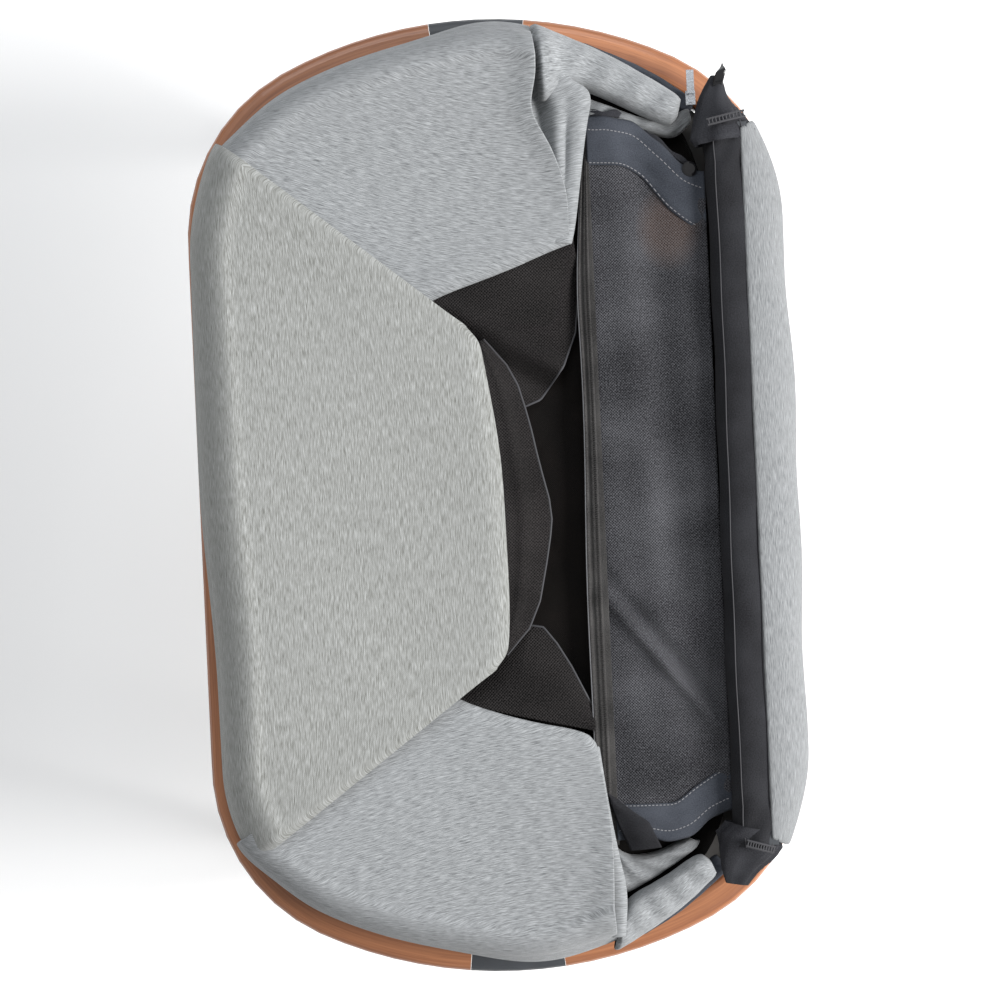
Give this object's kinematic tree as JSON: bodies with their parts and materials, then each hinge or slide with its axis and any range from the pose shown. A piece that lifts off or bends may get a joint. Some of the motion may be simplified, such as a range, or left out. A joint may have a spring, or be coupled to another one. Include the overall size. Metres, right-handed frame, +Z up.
{
  "type": "bassinet on stand",
  "caption": "Bassinet on a folding stand: a wooden ring with heather walls folded in over the bed and a zip-off mesh side laid inwards.",
  "frame": {"origin": "centre of the footprint, on the floor", "axes": "+Z up, +Y towards the head end, +X towards the open mesh side"},
  "size_m": [0.572, 0.916, 0.537],
  "materials": {
    "bent_wood": "satin lacquer",
    "slate_plastic": "fine grained",
    "coated_steel": "powder coated",
    "bright_metal": "plated",
    "rubber": "matt",
    "heather_cloth": "foam-backed heather jersey",
    "charcoal_cloth": "plain weave",
    "mesh": "open warp-knit mesh",
    "black_plastic": "polished",
    "deck_board": "dark laminate"
  },
  "bodies": {
    "basket": {"ring_bow_left": "bent_wood", "ring_bow_right": "bent_wood", "ring_connector_head": "slate_plastic", "ring_connector_foot": "slate_plastic", "cross_bar_head": "coated_steel", "cross_bar_foot": "coated_steel", "deck_board": "deck_board", "mattress": "charcoal_cloth", "wall_left": "heather_cloth", "wall_head": "heather_cloth", "wall_foot": "heather_cloth", "skirt_open_side": "heather_cloth", "roll_head": "heather_cloth", "roll_foot": "heather_cloth", "cuff_head": "charcoal_cloth", "cuff_foot": "charcoal_cloth", "rail_core": "coated_steel", "rail_sleeve": "charcoal_cloth", "rail_post_head": "slate_plastic", "rail_post_foot": "slate_plastic", "zip_slider_head": "bright_metal", "hinge_bracket_head_left": "slate_plastic", "hinge_bracket_head_right": "slate_plastic", "hinge_bracket_foot_left": "slate_plastic", "hinge_bracket_foot_right": "slate_plastic", "hinge_pin_head_left": "bright_metal", "hinge_pin_head_right": "bright_metal", "hinge_pin_foot_left": "bright_metal", "hinge_pin_foot_right": "bright_metal"},
    "leg_frame_head": {"floor_bar_head": "bent_wood", "leg_tube_head_left": "coated_steel", "leg_tube_head_right": "coated_steel", "leg_socket_head_left": "slate_plastic", "leg_socket_head_right": "slate_plastic", "floor_pad_head_left": "rubber", "floor_pad_head_right": "rubber"},
    "leg_frame_foot": {"floor_bar_foot": "bent_wood", "leg_tube_foot_left": "coated_steel", "leg_tube_foot_right": "coated_steel", "leg_socket_foot_left": "slate_plastic", "leg_socket_foot_right": "slate_plastic", "floor_pad_foot_left": "rubber", "floor_pad_foot_right": "rubber"},
    "release_head_left": {"lock_button_head_left": "black_plastic"},
    "release_head_right": {"lock_button_head_right": "black_plastic"},
    "release_foot_left": {"lock_button_foot_left": "black_plastic"},
    "release_foot_right": {"lock_button_foot_right": "black_plastic"},
    "left_wall_flap": {"flap_left": "heather_cloth"},
    "head_wall_flap": {"flap_head": "heather_cloth"},
    "foot_wall_flap": {"flap_foot": "heather_cloth"},
    "left_lining": {"mesh_band_left": "mesh"},
    "head_lining": {"mesh_gusset_head": "mesh"},
    "foot_lining": {"mesh_gusset_foot": "mesh"},
    "mesh_side": {"mesh_panel": "mesh", "zip_tape": "charcoal_cloth", "snap_cap": "black_plastic"},
    "zip_pull": {"zip_pull_head": "bright_metal"}
  },
  "joints": [
    {"name": "leg_head_fold", "type": "hinge", "parent": "basket", "child": "leg_frame_head", "pos_m": [0, 0.38014, 0.3614], "axis": [-1, 0, 0], "range_deg": [0, 93]},
    {"name": "leg_foot_fold", "type": "hinge", "parent": "basket", "child": "leg_frame_foot", "pos_m": [0, -0.38014, 0.3614], "axis": [1, 0, 0], "range_deg": [0, 93]},
    {"name": "release_head_left_press", "type": "slide", "parent": "basket", "child": "release_head_left", "axis": [0, -1, 0], "range_m": [0, 0.003], "stiffness_N_per_m": 600, "springref_m": -0.002},
    {"name": "release_head_right_press", "type": "slide", "parent": "basket", "child": "release_head_right", "axis": [0, -1, 0], "range_m": [0, 0.003], "stiffness_N_per_m": 600, "springref_m": -0.002},
    {"name": "release_foot_left_press", "type": "slide", "parent": "basket", "child": "release_foot_left", "axis": [0, 1, 0], "range_m": [0, 0.003], "stiffness_N_per_m": 600, "springref_m": -0.002},
    {"name": "release_foot_right_press", "type": "slide", "parent": "basket", "child": "release_foot_right", "axis": [0, 1, 0], "range_m": [0, 0.003], "stiffness_N_per_m": 600, "springref_m": -0.002},
    {"name": "left_wall_raise", "type": "hinge", "parent": "basket", "child": "left_wall_flap", "pos_m": [-0.265, 0, 0.53], "axis": [0, -1, 0], "range_deg": [0, 88]},
    {"name": "head_wall_raise", "type": "hinge", "parent": "basket", "child": "head_wall_flap", "pos_m": [0, 0.419, 0.53], "axis": [-1, 0, 0], "range_deg": [0, 88]},
    {"name": "foot_wall_raise", "type": "hinge", "parent": "basket", "child": "foot_wall_flap", "pos_m": [0, -0.419, 0.53], "axis": [1, 0, 0], "range_deg": [0, 88]},
    {"name": "left_lining_swing", "type": "hinge", "parent": "left_wall_flap", "child": "left_lining", "pos_m": [0.0072, 0, 0.4968], "axis": [0, -1, 0], "range_deg": [-158, 0]},
    {"name": "head_lining_swing", "type": "hinge", "parent": "head_wall_flap", "child": "head_lining", "pos_m": [-0.034, 0.1914, 0.4908], "axis": [-0.954, -0.2998, 0], "range_deg": [-158, 0]},
    {"name": "foot_lining_swing", "type": "hinge", "parent": "foot_wall_flap", "child": "foot_lining", "pos_m": [-0.03575, -0.1969, 0.4908], "axis": [0.9764, -0.2161, 0], "range_deg": [-158, 0]},
    {"name": "mesh_side_raise", "type": "hinge", "parent": "basket", "child": "mesh_side", "pos_m": [0.203, 0, 0.487], "axis": [0, 1, 0], "range_deg": [0, 80]},
    {"name": "zip_pull_turn", "type": "hinge", "parent": "basket", "child": "zip_pull", "pos_m": [0.1971, 0.3655, 0.4957], "axis": [1, 0, 0], "range_deg": [0, 110]}
  ],
  "couplings": [
    {"joint": "left_lining_swing", "follows": "left_wall_raise", "ratio": -1.78},
    {"joint": "head_lining_swing", "follows": "head_wall_raise", "ratio": -1.78},
    {"joint": "foot_lining_swing", "follows": "foot_wall_raise", "ratio": -1.78}
  ]
}
